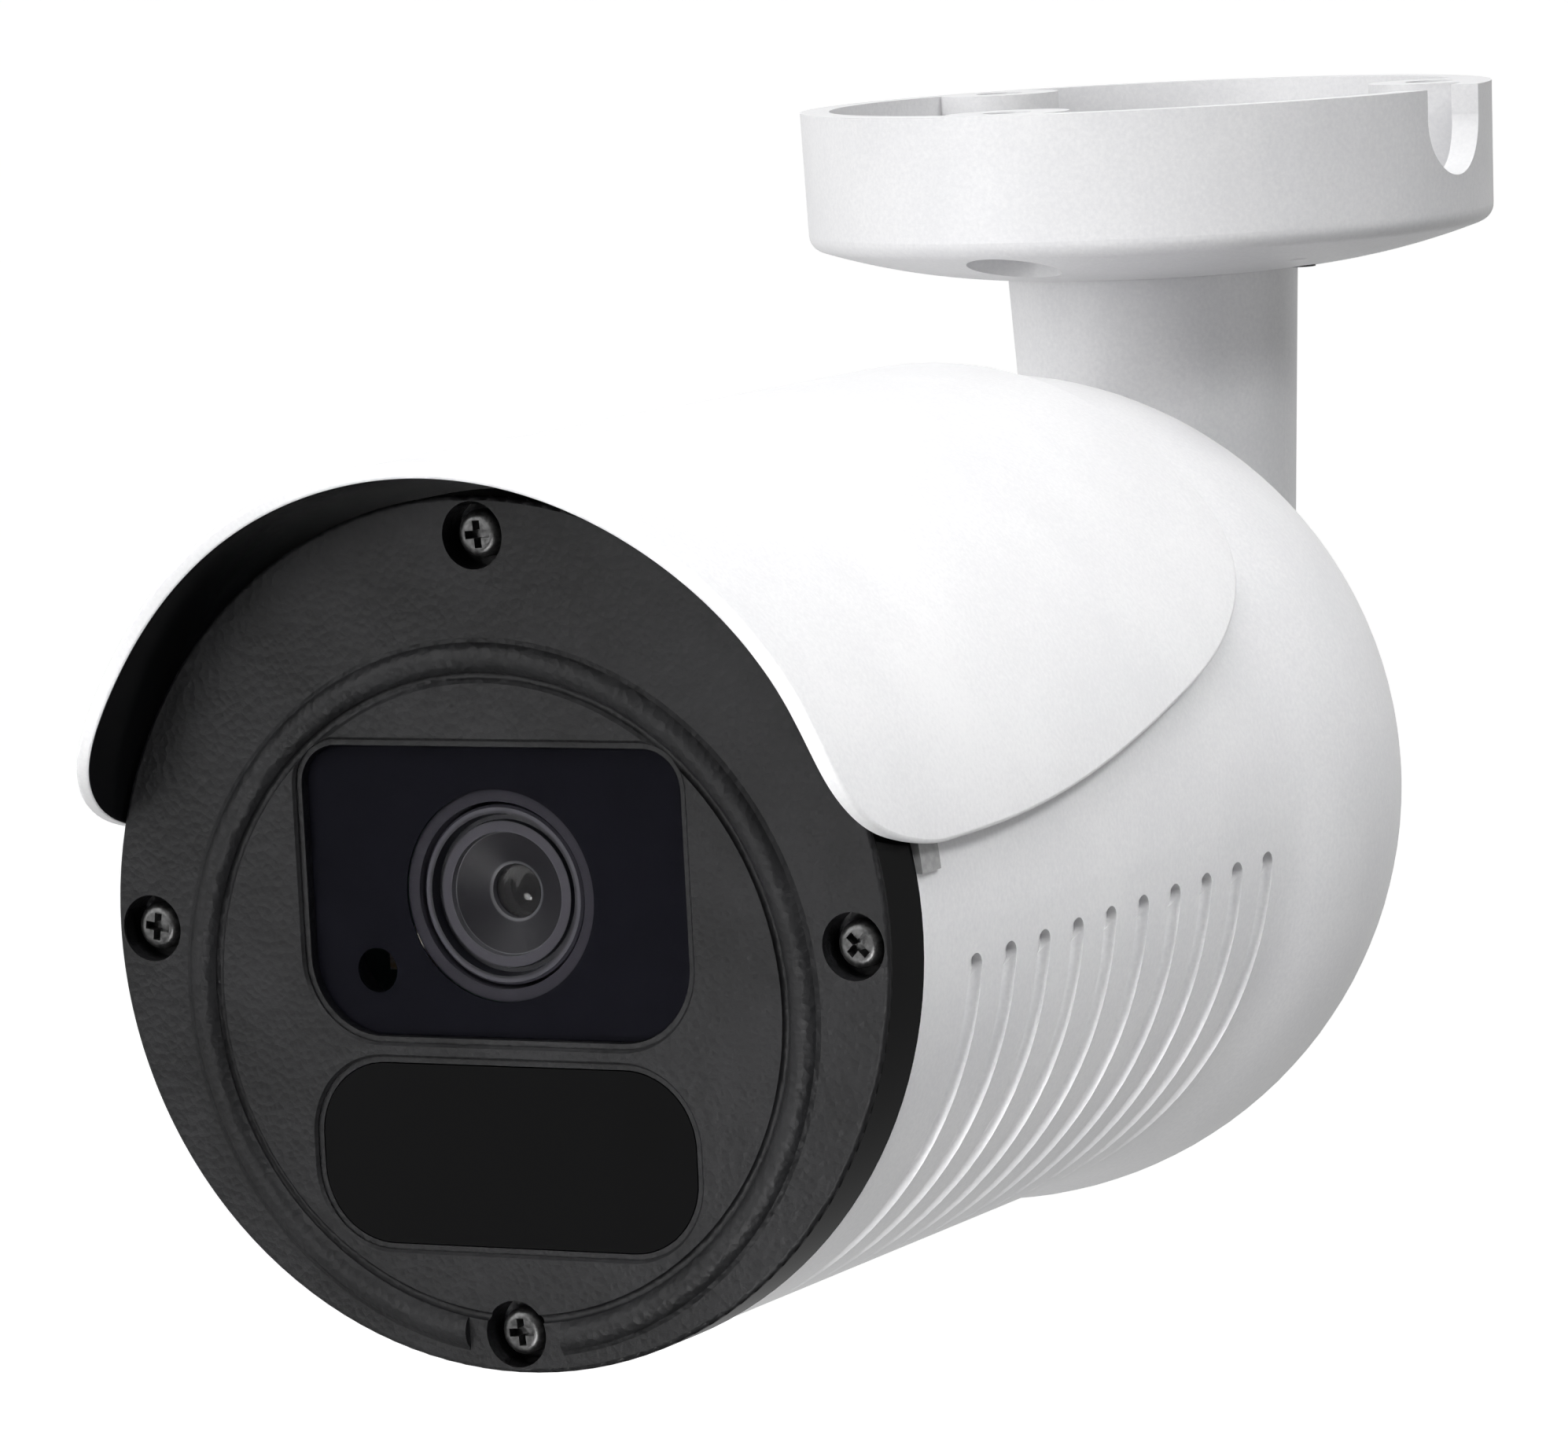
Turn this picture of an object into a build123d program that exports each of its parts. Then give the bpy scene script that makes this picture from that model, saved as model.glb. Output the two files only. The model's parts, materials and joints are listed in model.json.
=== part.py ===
from build123d import *
import os
from math import cos, radians, sin, sqrt

# A bullet security camera that hangs from a ceiling on a three-axis bracket.
# Origin: centre of the mounting face on the ceiling. +Z up, the lens looks along -Y. Millimetres.

# ---- driving dimensions -------------------------------------------------------------------
AXIS_DROP = 59.0            # ceiling face to the camera's own axis
FACE_REACH = 127.4          # neck axis to the front face

BASE_R = 31.9               # mounting base
BASE_FOOT_R = 31.6
BASE_RIM_H = 12.6
BASE_H = 16.2
BASE_WALL = 2.4
BASE_CORNER_R = 1.6
UNDER_ARC_R = 63.7          # shallow bowl under the base, outside a flat centre
UNDER_FLAT_R = 10.0
NOTCH_ANGLE = -3.0
NOTCH_W = 10.4
NOTCH_H = 7.9
MOUNT_HOLES = 3
MOUNT_PCD = 52.4
MOUNT_START = -93.0
MOUNT_HOLE_R = 2.2
MOUNT_HEAD_R = 4.3
MOUNT_BOSS_R = 5.6
MOUNT_SEAT_Z = -8.0
FLOOR_TOP = -14.0

NECK_TOP_R = 13.4           # neck where it leaves the base
NECK_TAPER = 0.05           # radius lost per millimetre of drop
NECK_BORE_R = 6.5
NECK_BORE_END = -44.0
FLANGE_R = 19.4
FLANGE_T = 2.0
RUN_GAP = 0.05              # clearance of a running fit
HINGE_Y = 6.2               # tilt pin behind the neck axis
HINGE_R = 2.5
CHEEK_R = 6.6
EYE_R = 6.4
FORK_HALF = 4.9
EYE_HALF = 4.4
SCOOP_GAP = 0.7
CHEEK_SEAT = 7.2            # where the hinge bolt's head and nut sit

BODY_R = 34.8               # housing tube
BODY_WALL = 2.8
DOME_R = 36.6               # rear dome
DOME_Y = 88.2
DOME_FLAT_Y = 123.9
CAP_R = 35.0                # black front cap
CAP_T = 5.8
CAP_EDGE = 0.4
MOUTH_R = 28.4
MOUTH_DEPTH = 9.0
GROOVES = 10
GROOVE_FIRST = 15.3
GROOVE_PITCH = 6.2
GROOVE_W = 2.4
GROOVE_DEPTH = 0.9
GROOVE_TOP_ANGLE = 6.5
GROOVE_FADE = 57.0

SHIELD_R = 36.4             # sunshield arch, centred a little above the tube's axis
SHIELD_RISE = 2.0
SHIELD_T = 1.3
SHIELD_FRONT = -8.6
SHIELD_REAR = 81.0
SHIELD_SCREW_Y = (26.0, 62.0)

SCREW_PCD_R = 31.85         # front cap screws
SCREW_HEAD_R = 1.9
SCREW_SHANK_R = 1.05
SCREW_RECESS_R = 2.7
SCREW_SEAT = 2.8
BEAD_Z = -4.95              # raised ring on the face
BEAD_R = 27.25
BEAD_SECTION_R = 1.5
BEAD_SUNK = 0.8
BEAD_GAP = 9.0

GLASS_W = 34.2              # lens window
GLASS_H = 23.2
GLASS_Z = 3.4
GLASS_TOP_R = 3.2
GLASS_LOW_R = 6.2
GLASS_T = 0.8
GLASS_SUNK = 0.4
IR_W = 33.8                 # infrared window
IR_H = 14.5
IR_Z = -17.7
IR_CORNER_R = 6.0
RECESS_LIP = 0.55
LEDGE = 1.6
SEAL_T = 0.45
MASK_T = 0.15
LAYER_GAP = 0.02
LIP_CHAMFER = 0.22

LENS_Z = 3.1                # lens axis above the camera axis
LENS_HOLE_R = 8.5
EYELET_X = -11.6            # light sensor eyelet in the mask
EYELET_Z = -3.1
EYELET_R = 1.8

parts = {}
camera_at = Pos(0, -FACE_REACH, -AXIS_DROP)


# ---- helpers ------------------------------------------------------------------------------
def along_x(radius, x0, x1, y=0, z=0):
    return Pos((x0 + x1) / 2, y, z) * Rot(0, 90, 0) * Cylinder(radius, x1 - x0)


def along_y(radius, y0, y1, x=0, z=0):
    return Pos(x, (y0 + y1) / 2, z) * Rot(90, 0, 0) * Cylinder(radius, y1 - y0)


def along_z(radius, z0, z1, x=0, y=0):
    return Pos(x, y, (z0 + z1) / 2) * Cylinder(radius, z1 - z0)


def block(x0, x1, y0, y1, z0, z1):
    return Pos((x0 + x1) / 2, (y0 + y1) / 2, (z0 + z1) / 2) * Box(x1 - x0, y1 - y0, z1 - z0)


def slab(sketch, y0, y1):
    """A flat outline in X and Z, given thickness from y0 to y1."""
    return extrude(Plane.XZ.offset(-y1) * sketch, amount=y1 - y0)


def spin_y(points):
    """A solid of revolution about Y from (radius, y) corners."""
    return revolve(make_face(Polyline(*points, close=True)), Axis.Y)


def spots(radius, angles):
    return [(radius * cos(radians(a)), radius * sin(radians(a))) for a in angles]


def group(solids):
    return Compound(children=list(solids))


def keep_on_camera(name, shape):
    parts[name] = camera_at * shape


def window_outline(grow):
    outline = Rectangle(GLASS_W + 2 * grow, GLASS_H + 2 * grow)
    outline = fillet(outline.vertices().group_by(Axis.Y)[-1], GLASS_TOP_R + grow)
    outline = fillet(outline.vertices().group_by(Axis.Y)[0], GLASS_LOW_R + grow)
    return Pos(0, GLASS_Z) * outline


def ir_outline(grow):
    return Pos(0, IR_Z) * RectangleRounded(IR_W + 2 * grow, IR_H + 2 * grow, IR_CORNER_R + grow)


# ---- mounting base ------------------------------------------------------------------------
mount_angles = [MOUNT_START + 360 / MOUNT_HOLES * i for i in range(MOUNT_HOLES)]
plate_angles = [a + 60 for a in mount_angles]
mount_spots = spots(MOUNT_PCD / 2, mount_angles)
PLATE_R = 20.2
PLATE_SCREW_PCD_R = 22.6
plate_spots = spots(PLATE_SCREW_PCD_R, plate_angles)
PLATE_BOSS_R = 2.3
PLATE_LOW = FLOOR_TOP + FLANGE_T + 2 * RUN_GAP + 0.6
PLATE_T = 1.5
LOCK_R = 17.8
LOCK_ANGLE = -16.0
LOCK_SCREW_R = 1.4


def base_shell():
    rim_z = UNDER_ARC_R - BASE_H - sqrt(UNDER_ARC_R**2 - (BASE_FOOT_R - UNDER_FLAT_R) ** 2)
    outer = Polyline((UNDER_FLAT_R, -BASE_H), (0, -BASE_H), (0, 0), (BASE_R, 0), (BASE_FOOT_R, rim_z))
    under = RadiusArc((BASE_FOOT_R, rim_z), (UNDER_FLAT_R, -BASE_H), UNDER_ARC_R)
    shell = revolve(Plane.XZ * make_face(outer + under), Axis.Z)
    rim = shell.edges().filter_by(GeomType.CIRCLE).sort_by(SortBy.RADIUS)
    rim = [e for e in rim if e.radius > BASE_FOOT_R - 0.1 and e.center().Z < -1]
    shell = fillet(rim, BASE_CORNER_R)
    inside_r = BASE_FOOT_R - BASE_WALL
    cavity = Polyline(
        (0, FLOOR_TOP), (20.4, FLOOR_TOP), (inside_r, FLOOR_TOP + 3), (inside_r, 1), (0, 1),
        close=True,
    )
    shell -= revolve(Plane.XZ * make_face(cavity), Axis.Z)
    for x, y in mount_spots:
        boss = along_z(MOUNT_BOSS_R, -BASE_RIM_H + 1.2, 0, x, y)
        shell += boss & along_z(BASE_FOOT_R - 0.5, -BASE_H, 0)
    for x, y in mount_spots:
        shell -= along_z(MOUNT_HEAD_R, -BASE_H - 1, MOUNT_SEAT_Z, x, y)
        shell -= along_z(MOUNT_HOLE_R, -BASE_H, 1, x, y)
    for x, y in plate_spots:
        shell += along_z(PLATE_BOSS_R, FLOOR_TOP - 0.5, PLATE_LOW, x, y)
        shell -= along_z(0.9, FLOOR_TOP + 0.4, 0, x, y)
    shell -= along_z(NECK_TOP_R + RUN_GAP, -BASE_H - 1, 1)
    lock_x, lock_y = spots(LOCK_R, [LOCK_ANGLE])[0]
    shell -= along_z(LOCK_SCREW_R, -BASE_H - 1, 0, lock_x, lock_y)
    notch = block(0, BASE_R + 2, -NOTCH_W / 2, NOTCH_W / 2, -NOTCH_H + NOTCH_W / 2, 1)
    notch += along_x(NOTCH_W / 2, 0, BASE_R + 2, 0, -NOTCH_H + NOTCH_W / 2)
    notch -= block(-1, 24.5, -9, 9, -BASE_H, 2)
    return shell - Rot(0, 0, NOTCH_ANGLE) * notch


def clamp_plate():
    plate = along_z(PLATE_R, PLATE_LOW, PLATE_LOW + PLATE_T)
    ear_r = PLATE_BOSS_R + 0.3
    for angle, (x, y) in zip(plate_angles, plate_spots):
        arm = block(PLATE_R - 4, PLATE_SCREW_PCD_R, -ear_r, ear_r, PLATE_LOW, PLATE_LOW + PLATE_T)
        plate += Rot(0, 0, angle) * arm
        plate += along_z(ear_r, PLATE_LOW, PLATE_LOW + PLATE_T, x, y)
    for x, y in plate_spots:
        plate -= along_z(1.2, PLATE_LOW - 1, 0, x, y)
    return plate - along_z(NECK_BORE_R + 1.5, PLATE_LOW - 1, 0)


def small_screw(head_r, head_h, shank_r, length):
    """A cross-head screw, its head on top and its seat at the origin."""
    head = along_z(head_r, 0, head_h)
    head = fillet(head.edges().sort_by(Axis.Z)[-1], head_h * 0.35)
    screw = head + along_z(shank_r, -length, 0)
    slot = head_r * 1.15
    depth = head_h * 0.55
    for turn in (0, 90):
        cut = block(-slot / 2, slot / 2, -head_r * 0.17, head_r * 0.17, head_h - depth, head_h + 1)
        screw -= Rot(0, 0, turn) * cut
    return screw


parts["base_shell"] = base_shell()
parts["clamp_plate"] = clamp_plate()
parts["pan_friction_ring"] = (
    along_z(FLANGE_R - 0.6, PLATE_LOW - 0.6, PLATE_LOW)
    - along_z(NECK_BORE_R + 2.5, PLATE_LOW - 1, 0)
)
parts["clamp_plate_screws"] = group(
    Pos(x, y, PLATE_LOW + PLATE_T) * small_screw(2.0, 1.4, 0.85, 3.6) for x, y in plate_spots
)
lock_x, lock_y = spots(LOCK_R, [LOCK_ANGLE])[0]
lock_screw = along_z(LOCK_SCREW_R, FLOOR_TOP - 1.7, FLOOR_TOP, lock_x, lock_y)
parts["pan_lock_screw"] = lock_screw - block(
    lock_x - 0.3, lock_x + 0.3, lock_y - 1.1, lock_y + 1.1, FLOOR_TOP - 2, FLOOR_TOP - 1
)

# ---- neck with its fork -------------------------------------------------------------------
FLANGE_LOW = FLOOR_TOP + RUN_GAP
SLOT_TOP = -AXIS_DROP + 8.2
FORK_FRONT = HINGE_Y - CHEEK_R


def neck_radius(z):
    return NECK_TOP_R - NECK_TAPER * (-BASE_H - z)


def neck():
    low = -AXIS_DROP - CHEEK_R
    cone = Pos(0, 0, (low - BASE_H) / 2) * Cone(neck_radius(low), NECK_TOP_R, -BASE_H - low)
    arm = cone + along_z(NECK_TOP_R, -BASE_H, FLANGE_LOW)
    arm += along_z(FLANGE_R, FLANGE_LOW, FLANGE_LOW + FLANGE_T)
    arm -= along_z(NECK_BORE_R, NECK_BORE_END, 0)
    arm -= along_y(4.0, 0, 20, 0, NECK_BORE_END + 5.5)
    arm -= camera_at * Pos(0, DOME_Y, 0) * Sphere(DOME_R + SCOOP_GAP)
    arm -= block(-20, 20, -30, FORK_FRONT, low - 1, -AXIS_DROP + 10.5)
    arm -= block(-FORK_HALF, FORK_HALF, -30, 30, low - 1, SLOT_TOP)
    rounding = block(-20, 20, -30, 30, low - 1, -AXIS_DROP)
    rounding -= along_x(CHEEK_R, -20, 20, HINGE_Y, -AXIS_DROP)
    arm -= rounding
    arm -= along_x(HINGE_R + 0.02, -20, 20, HINGE_Y, -AXIS_DROP)
    arm -= along_x(4.3, CHEEK_SEAT, 20, HINGE_Y, -AXIS_DROP)
    nut_pocket = Pos(-CHEEK_SEAT - 6, HINGE_Y, -AXIS_DROP) * Rot(0, 90, 0)
    arm -= nut_pocket * extrude(RegularPolygon(4.05, 6, major_radius=False), 6, both=True)
    return arm


def hinge_bolt():
    bolt = along_x(HINGE_R, -CHEEK_SEAT - 3.2, CHEEK_SEAT, HINGE_Y, -AXIS_DROP)
    bolt += along_x(4.1, CHEEK_SEAT, CHEEK_SEAT + 2.4, HINGE_Y, -AXIS_DROP)
    key = Pos(CHEEK_SEAT + 2.4, HINGE_Y, -AXIS_DROP) * Rot(0, 90, 0)
    return bolt - key * extrude(RegularPolygon(1.5, 6, major_radius=False), 1.4, both=True)


parts["neck"] = neck()
parts["hinge_bolt"] = hinge_bolt()
nut_at = Pos(-CHEEK_SEAT - 1.4, HINGE_Y, -AXIS_DROP) * Rot(0, 90, 0)
hinge_nut = nut_at * extrude(RegularPolygon(4.0, 6, major_radius=False), 1.4, both=True)
parts["hinge_nut"] = hinge_nut - along_x(HINGE_R, -20, 0, HINGE_Y, -AXIS_DROP)
parts["tilt_washers"] = group(
    along_x(6.0, min(a, b), max(a, b), HINGE_Y, -AXIS_DROP)
    - along_x(HINGE_R + 0.1, -9, 9, HINGE_Y, -AXIS_DROP)
    for a, b in ((EYE_HALF + RUN_GAP, FORK_HALF), (-FORK_HALF, -EYE_HALF - RUN_GAP))
)

# ---- tail that turns in the rear dome -----------------------------------------------------
FLAT = DOME_FLAT_Y - FACE_REACH
SHAFT_R = 4.5
SHOULDER_R = 7.6
TAIL_WASHER_T = 0.6
BOSS_DEPTH = 9.0
shaft_end = FLAT - BOSS_DEPTH - 6.2


def tail():
    shoulder_front = FLAT + TAIL_WASHER_T + RUN_GAP
    knuckle = along_x(EYE_R, -EYE_HALF, EYE_HALF, HINGE_Y, -AXIS_DROP)
    knuckle += block(-EYE_HALF, EYE_HALF, shoulder_front, HINGE_Y, -AXIS_DROP - 4.6, -AXIS_DROP + 4.6)
    knuckle += along_y(SHOULDER_R, shoulder_front, shoulder_front + 1.6, 0, -AXIS_DROP)
    knuckle += along_y(SHAFT_R, shaft_end, shoulder_front + 1, 0, -AXIS_DROP)
    return knuckle - along_x(HINGE_R + RUN_GAP, -9, 9, HINGE_Y, -AXIS_DROP)


def tail_nut():
    y = FLAT - BOSS_DEPTH - 0.65 - 4
    seat = Plane.XZ.offset(-(y + 4)) * Pos(0, -AXIS_DROP) * RegularPolygon(6.5, 6, major_radius=False)
    return extrude(seat, 4) - along_y(SHAFT_R, -40, 0, 0, -AXIS_DROP)


parts["tail_knuckle"] = tail()
parts["tail_nut"] = tail_nut()
parts["tail_spring_washer"] = along_y(
    7.4, FLAT - BOSS_DEPTH - 0.65, FLAT - BOSS_DEPTH - RUN_GAP, 0, -AXIS_DROP
) - along_y(SHAFT_R, -40, 0, 0, -AXIS_DROP)
parts["tail_seal"] = along_y(SHOULDER_R - 0.2, FLAT + RUN_GAP, FLAT + TAIL_WASHER_T, 0, -AXIS_DROP) - along_y(
    SHAFT_R + 0.3, -40, 10, 0, -AXIS_DROP
)


# ---- camera housing (from here on: origin at the centre of the front face) ----------------
def groove_cutter(y, side):
    """One shallow cooling groove, deepest near its top end and faded out underneath."""
    shift = GROOVE_DEPTH / (1 - cos(radians(GROOVE_FADE)))
    inner = BODY_R + shift - GROOVE_DEPTH
    section = Pos(inner + 3, 0) * RectangleRounded(6, GROOVE_W, 0.75)
    sweep_angle = GROOVE_FADE + 12
    ring = revolve(section, Axis.Y, sweep_angle)
    ring = Rot(0, GROOVE_TOP_ANGLE, 0) * ring
    end = Rot(0, GROOVE_TOP_ANGLE, 0) * along_x(GROOVE_W / 2, inner, inner + 6)
    cutter = Pos(-shift * cos(radians(5)), y, shift * sin(radians(5))) * (ring + end)
    return cutter if side > 0 else mirror(cutter, Plane.YZ)


def housing():
    front = CAP_T
    flare_y = DOME_Y - 14.0
    tube = Polyline((0, front), (BODY_R - 0.3, front), (BODY_R, front + 0.3), (BODY_R, flare_y))
    shoulder_r = BODY_R + 0.85
    shoulder_y = DOME_Y - sqrt(DOME_R**2 - shoulder_r**2)
    swell = RadiusArc((BODY_R, flare_y), (shoulder_r, shoulder_y), 26)
    pole_r = sqrt(DOME_R**2 - (DOME_FLAT_Y - DOME_Y) ** 2)
    dome = RadiusArc((shoulder_r, shoulder_y), (pole_r, DOME_FLAT_Y), -DOME_R)
    back = Polyline((pole_r, DOME_FLAT_Y), (0, DOME_FLAT_Y), (0, front))
    shape = revolve(make_face(tube + swell + dome + back), Axis.Y)
    hollow = along_y(BODY_R - BODY_WALL, CAP_T + MOUTH_DEPTH, DOME_Y)
    hollow += Pos(0, DOME_Y, 0) * Sphere(BODY_R - BODY_WALL)
    hollow -= along_y(11, DOME_FLAT_Y - BOSS_DEPTH, DOME_FLAT_Y + 1)
    shape -= hollow
    shape -= along_y(MOUTH_R, 0, CAP_T + MOUTH_DEPTH + 1)
    for y in SHIELD_SCREW_Y:
        shape -= along_z(1.6, BODY_R - 5, BODY_R + 2, 0, y)
    for side in (1, -1):
        lug = block(24.5, 33, 38.4, 44.4, -5, 5) & along_y(BODY_R - 1, 0, 60)
        shape += lug if side > 0 else mirror(lug, Plane.YZ)
        shape -= along_y(0.95, 37, 43, side * 27.5, 0)
    for x, z in spots(SCREW_PCD_R, (0, 90, 180, 270)):
        shape -= along_y(SCREW_SHANK_R, 0, CAP_T + 7.5, x, z)
    shape -= along_y(SHAFT_R + RUN_GAP, 100, 140)
    gland_axis = Pos(0, DOME_Y, 0) * Rot(GLAND_TILT, 0, 0)
    shape -= gland_axis * along_y(GLAND_R, 20, 50)
    for i in range(GROOVES):
        for side in (1, -1):
            shape -= groove_cutter(GROOVE_FIRST + GROOVE_PITCH * i, side)
    return shape


def sunshield():
    shell = along_y(SHIELD_R, SHIELD_FRONT, SHIELD_REAR, 0, SHIELD_RISE)
    shell -= along_y(SHIELD_R - SHIELD_T, SHIELD_FRONT - 1, SHIELD_REAR + 1, 0, SHIELD_RISE)
    front_edge = Spline(
        (SHIELD_FRONT, 39), (-7.6, 30), (-6.6, 20), (-5.7, 13.2), (-2.6, 9.9), (2.6, 7.9), (9, 7.0),
        tangents=((0, -1), (1, 0)),
    )
    low_edge = Spline(
        (9, 7.0), (19.2, 7.1), (37, 8.8), (55.1, 12.4), (69.5, 17.0), (77.6, 24.0), (79.6, 33),
        (SHIELD_REAR, 40), tangents=((1, 0), (0.1, 1)),
    )
    roof = Polyline((SHIELD_REAR, 40), (SHIELD_REAR, 60), (SHIELD_FRONT, 60), (SHIELD_FRONT, 39))
    shell &= extrude(Plane.YZ * make_face(front_edge + low_edge + roof), 50, both=True)
    shell = fillet(shell.edges().filter_by(lambda e: e.length > 30), 0.3)
    top = SHIELD_RISE + SHIELD_R - SHIELD_T
    for y in SHIELD_SCREW_Y:
        shell += along_z(4.0, BODY_R, top + SHIELD_T / 2, 0, y)
        shell -= along_z(1.25, BODY_R - 1, top, 0, y)
    return shell


def shield_pads():
    """Small rests behind the cap that keep the shield's lower front corners off the tube."""
    rest = along_y(SHIELD_R - SHIELD_T, CAP_T + 0.4, CAP_T + 3.6, 0, SHIELD_RISE) - along_y(BODY_R, 0, 20)
    return group(rest & block(side * 36 - 8, side * 36 + 8, 0, 20, 4.8, 10) for side in (1, -1))


GLAND_TILT = -38.0
GLAND_R = 3.6
keep_on_camera("sunshield_pads", shield_pads())
keep_on_camera("housing", housing())
keep_on_camera("sunshield", sunshield())
screw_seat = BODY_R - BODY_WALL - 0.7
keep_on_camera("sunshield_screws", group(
    Pos(0, y, screw_seat) * Rot(180, 0, 0) * small_screw(2.5, 1.7, 1.25, 5) for y in SHIELD_SCREW_Y
))
keep_on_camera("sunshield_screw_seals", group(
    along_z(2.7, screw_seat, screw_seat + 0.6, 0, y) - along_z(1.4, 0, 40, 0, y) for y in SHIELD_SCREW_Y
))
gland = along_y(GLAND_R, BODY_R - BODY_WALL - 0.9, DOME_R - 0.4) + along_y(
    GLAND_R + 1.4, BODY_R - BODY_WALL - 2.4, BODY_R - BODY_WALL - 0.6
)
gland -= along_y(1.5, 0, DOME_R - 2.2)
keep_on_camera("cable_gland", Pos(0, DOME_Y, 0) * Rot(GLAND_TILT, 0, 0) * gland)


# ---- front cap ----------------------------------------------------------------------------
glass_back = GLASS_SUNK + GLASS_T
mask_back = glass_back + LAYER_GAP + MASK_T
seal_back = mask_back + LAYER_GAP + SEAL_T
FRONT_BOARD_Y = 10.6
BOARD_T = 1.2
BOARD_POST_X = 21.5
BOARD_POST_Z = -5.0


def front_cap():
    cap = along_y(CAP_R, 0, CAP_T)
    cap = fillet(cap.edges().filter_by(GeomType.CIRCLE).sort_by(Axis.Y)[0], CAP_EDGE)
    bead = Pos(0, BEAD_SUNK, BEAD_Z) * Rot(90, 0, 0) * Torus(BEAD_R, BEAD_SECTION_R)
    gap_half = BEAD_R * sin(radians(BEAD_GAP))
    bead -= block(-gap_half, gap_half, -5, 5, BEAD_Z - 40, BEAD_Z - 20)
    cap += bead & along_y(CAP_R - 0.6, -3, CAP_T)
    groove = Pos(0, 0, BEAD_Z) * Rot(90, 0, 0) * Torus(BEAD_R - BEAD_SECTION_R - 0.05, 0.35)
    cap -= groove
    cap += along_y(MOUTH_R - 0.15, CAP_T - 1, CAP_T + 3.5) - along_y(MOUTH_R - 2.4, CAP_T - 2, 12)
    for x, z in spots(SCREW_PCD_R, (0, 90, 180, 270)):
        cap -= along_y(SCREW_RECESS_R, -3, SCREW_SEAT, x, z)
        rim = Cone(SCREW_RECESS_R - LIP_CHAMFER, SCREW_RECESS_R + LIP_CHAMFER, 2 * LIP_CHAMFER)
        cap -= Pos(x, 0, z) * Rot(90, 0, 0) * rim
        cap -= along_y(SCREW_SHANK_R + 0.2, -3, 12, x, z)
    for outline in (window_outline, ir_outline):
        cap -= slab(outline(RECESS_LIP), -3, GLASS_SUNK)
        cap -= slab(outline(0.1), 0, seal_back)
        cap -= slab(outline(-LEDGE), 0, 12)
    on_face = cap.edges().filter_by(lambda e: abs(e.center().Y) < 0.01 and e.bounding_box().size.Y < 0.01)
    window_lips = on_face.filter_by(lambda e: abs(e.center().X) < 18 and abs(e.center().Z + BEAD_Z) < 23)
    cap = chamfer(window_lips, LIP_CHAMFER)
    for x in (-BOARD_POST_X, BOARD_POST_X):
        cap += along_y(2.0, CAP_T - 1, FRONT_BOARD_Y, x, BOARD_POST_Z)
        cap -= along_y(0.8, CAP_T + 0.6, 20, x, BOARD_POST_Z)
    ring = along_y(30.1, CAP_T - 1.15, CAP_T + 1) - along_y(28.7, 0, CAP_T + 2)
    return cap - ring


def cap_screws():
    made = []
    for angle, turn in ((90, 4), (180, -8), (270, 5), (0, 45)):
        x, z = spots(SCREW_PCD_R, (angle,))[0]
        screw = small_screw(SCREW_HEAD_R, 2.0, SCREW_SHANK_R - 0.02, 10)
        made.append(Pos(x, SCREW_SEAT, z) * Rot(90, 0, 0) * Rot(0, 0, turn) * screw)
    return group(made)


keep_on_camera("front_cap", front_cap())
keep_on_camera("front_cap_screws", cap_screws())
keep_on_camera("cap_oring", Pos(0, CAP_T - 0.57, 0) * Rot(90, 0, 0) * Torus(29.4, 0.56))
keep_on_camera("lens_window", slab(window_outline(0), GLASS_SUNK, glass_back))
mask = slab(window_outline(0), glass_back + LAYER_GAP, mask_back)
mask -= along_y(LENS_HOLE_R, 0, 10, 0, LENS_Z)
mask -= along_y(EYELET_R, 0, 10, EYELET_X, EYELET_Z)
keep_on_camera("window_mask", mask)
window_ring = window_outline(0) - window_outline(-LEDGE)
keep_on_camera("lens_window_seal", slab(window_ring, mask_back + LAYER_GAP, seal_back))
keep_on_camera("ir_window", slab(ir_outline(0), GLASS_SUNK, mask_back))
ir_ring = ir_outline(0) - ir_outline(-LEDGE)
keep_on_camera("ir_window_seal", slab(ir_ring, mask_back + LAYER_GAP, seal_back))

# ---- lens and its holder ------------------------------------------------------------------
LENS_FRONT = 1.8
HOLDER_FRONT = 15.0
CUT_FRONT = 25.2            # day and night filter unit
SENSOR_Y = 31.0
at_lens = Pos(0, 0, LENS_Z)


def lens_barrel():
    y = LENS_FRONT
    rear = CUT_FRONT - 0.2
    mouth = ((2.2, y + 2.2), (4.9, y + 1.0), (5.0, y + 0.5), (5.85, y + 0.5), (5.95, y + 0.9))
    rim = ((6.3, y + 0.9), (6.5, y), (7.0, y), (7.2, y + 0.2), (7.2, y + 5.0))
    tube = ((5.95, y + 5.6), (5.95, rear), (4.0, rear), (4.0, y + 6.0), (2.2, y + 5.0))
    return spin_y(mouth + rim + tube)


def lens_holder():
    holder = along_y(8.0, HOLDER_FRONT, CUT_FRONT) + block(-11, 11, CUT_FRONT - 2.2, CUT_FRONT, -8, 8)
    return holder - along_y(6.0, HOLDER_FRONT - 1, CUT_FRONT + 1)


def dome_lens(radius, y, thickness, crown):
    """A round lens, convex towards the front."""
    curve = (radius**2 + crown**2) / (2 * crown)
    profile = RadiusArc((0, y - crown), (radius, y), curve) + Polyline(
        (radius, y), (radius, y + thickness), (0, y + thickness), (0, y - crown)
    )
    return revolve(make_face(profile), Axis.Y)


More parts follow.
